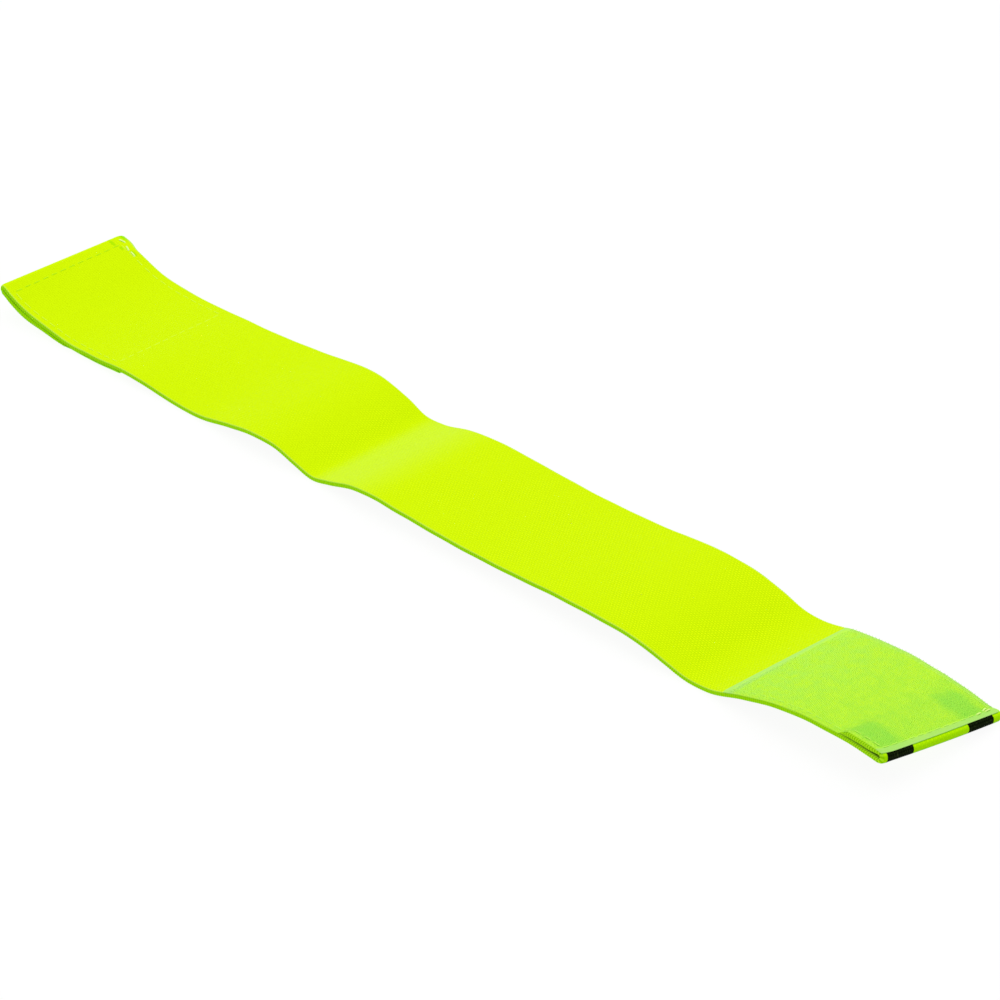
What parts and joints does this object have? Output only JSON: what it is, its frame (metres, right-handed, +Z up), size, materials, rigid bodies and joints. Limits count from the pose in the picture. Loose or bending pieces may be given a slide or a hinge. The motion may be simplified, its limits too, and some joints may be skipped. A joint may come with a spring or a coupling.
{
  "type": "elastic arm band with hook-and-loop closure",
  "caption": "Neon woven elastic arm band, laid open with its inner face up, with a hook patch on one end and a loop patch on the other; it wraps into a ring and fastens.",
  "frame": {"origin": "on the surface the band lies on, under the middle of its box", "axes": "+X along the band, from the loop end to the hook end; +Y across it; +Z up, out of its inner face"},
  "size_m": [0.304, 0.0403, 0.0105],
  "materials": {
    "webbing": "plain woven elastic, neon yellow, with two black warp stripes on its outer face",
    "hook_tape": "thin translucent hook tape",
    "loop_tape": "napped loop tape",
    "thread": "polyester sewing thread"
  },
  "bodies": {
    "loop_tab": {"webbing_loop_end": "webbing", "loop_patch": "loop_tape", "loop_patch_needle_thread": "thread", "loop_patch_bobbin_thread": "thread"},
    "link_1": {"webbing_link_1": "webbing"},
    "link_2": {"webbing_link_2": "webbing"},
    "link_3": {"webbing_link_3": "webbing"},
    "link_4": {"webbing_link_4": "webbing"},
    "link_5": {"webbing_link_5": "webbing"},
    "link_6": {"webbing_link_6": "webbing"},
    "link_7": {"webbing_link_7": "webbing"},
    "link_8": {"webbing_link_8": "webbing"},
    "link_9": {"webbing_link_9": "webbing"},
    "link_10": {"webbing_link_10": "webbing"},
    "link_11": {"webbing_link_11": "webbing"},
    "link_12": {"webbing_link_12": "webbing"},
    "link_13": {"webbing_link_13": "webbing"},
    "link_14": {"webbing_link_14": "webbing"},
    "link_15": {"webbing_link_15": "webbing"},
    "link_16": {"webbing_link_16": "webbing"},
    "hook_tab": {"webbing_hook_end": "webbing", "hook_patch": "hook_tape", "hook_patch_needle_thread": "thread", "hook_patch_bobbin_thread": "thread"}
  },
  "joints": [
    {"name": "bend_at_loop_tab", "type": "hinge", "parent": "link_1", "child": "loop_tab", "pos_m": [-0.106, 0, 0.0025], "axis": [0, 1, 0], "range_deg": [0, 39.92]},
    {"name": "bend_1_2", "type": "hinge", "parent": "link_2", "child": "link_1", "pos_m": [-0.09275, 0, 0.00258], "axis": [0, 1, 0], "range_deg": [0, 30.79]},
    {"name": "bend_2_3", "type": "hinge", "parent": "link_3", "child": "link_2", "pos_m": [-0.0795, 0, 0.003], "axis": [0, 1, 0], "range_deg": [0, 10.8]},
    {"name": "bend_3_4", "type": "hinge", "parent": "link_4", "child": "link_3", "pos_m": [-0.06625, 0, 0.00505], "axis": [0, 1, 0], "range_deg": [0, 25.1]},
    {"name": "bend_4_5", "type": "hinge", "parent": "link_5", "child": "link_4", "pos_m": [-0.053, 0, 0.0054], "axis": [0, 1, 0], "range_deg": [0, 33.09]},
    {"name": "bend_5_6", "type": "hinge", "parent": "link_6", "child": "link_5", "pos_m": [-0.03975, 0, 0.00215], "axis": [0, 1, 0], "range_deg": [-1.47, 0]},
    {"name": "bend_6_7", "type": "hinge", "parent": "link_6", "child": "link_7", "pos_m": [-0.0265, 0, 0.0034], "axis": [0, -1, 0], "range_deg": [0, 15.55]},
    {"name": "bend_7_8", "type": "hinge", "parent": "link_7", "child": "link_8", "pos_m": [-0.01325, 0, 0.00518], "axis": [0, -1, 0], "range_deg": [0, 27.08]},
    {"name": "wrap", "type": "hinge", "parent": "link_8", "child": "link_9", "pos_m": [0, 0, 0.0048], "axis": [0, -1, 0], "range_deg": [0, 16.55]},
    {"name": "bend_9_10", "type": "hinge", "parent": "link_9", "child": "link_10", "pos_m": [0.01325, 0, 0.0047], "axis": [0, -1, 0], "range_deg": [0, 17.8]},
    {"name": "bend_10_11", "type": "hinge", "parent": "link_10", "child": "link_11", "pos_m": [0.0265, 0, 0.0046], "axis": [0, -1, 0], "range_deg": [0, 15.67]},
    {"name": "bend_11_12", "type": "hinge", "parent": "link_11", "child": "link_12", "pos_m": [0.03975, 0, 0.00499], "axis": [0, -1, 0], "range_deg": [0, 16.01]},
    {"name": "bend_12_13", "type": "hinge", "parent": "link_12", "child": "link_13", "pos_m": [0.053, 0, 0.0058], "axis": [0, -1, 0], "range_deg": [0, 20.47]},
    {"name": "bend_13_14", "type": "hinge", "parent": "link_13", "child": "link_14", "pos_m": [0.06625, 0, 0.00599], "axis": [0, -1, 0], "range_deg": [0, 25.46]},
    {"name": "bend_14_15", "type": "hinge", "parent": "link_14", "child": "link_15", "pos_m": [0.0795, 0, 0.0044], "axis": [0, -1, 0], "range_deg": [0, 23.17]},
    {"name": "bend_15_16", "type": "hinge", "parent": "link_15", "child": "link_16", "pos_m": [0.09275, 0, 0.00153], "axis": [0, -1, 0], "range_deg": [0, 4.66]},
    {"name": "hook_tab_fold", "type": "hinge", "parent": "link_16", "child": "hook_tab", "pos_m": [0.106, 0, 0.0035], "axis": [-0.119, -0.992, -0.0433], "range_deg": [0, 34]}
  ],
  "couplings": [
    {"joint": "bend_at_loop_tab", "follows": "wrap", "ratio": 2.4091},
    {"joint": "bend_1_2", "follows": "wrap", "ratio": 1.8574},
    {"joint": "bend_2_3", "follows": "wrap", "ratio": 0.6495},
    {"joint": "bend_3_4", "follows": "wrap", "ratio": 1.5136},
    {"joint": "bend_4_5", "follows": "wrap", "ratio": 1.9964},
    {"joint": "bend_5_6", "follows": "wrap", "ratio": -0.0858},
    {"joint": "bend_6_7", "follows": "wrap", "ratio": 0.9366},
    {"joint": "bend_7_8", "follows": "wrap", "ratio": 1.6332},
    {"joint": "bend_9_10", "follows": "wrap", "ratio": 1.0725},
    {"joint": "bend_10_11", "follows": "wrap", "ratio": 0.9438},
    {"joint": "bend_11_12", "follows": "wrap", "ratio": 0.9644},
    {"joint": "bend_12_13", "follows": "wrap", "ratio": 1.2338},
    {"joint": "bend_13_14", "follows": "wrap", "ratio": 1.5353},
    {"joint": "bend_14_15", "follows": "wrap", "ratio": 1.397},
    {"joint": "bend_15_16", "follows": "wrap", "ratio": 0.2785}
  ]
}
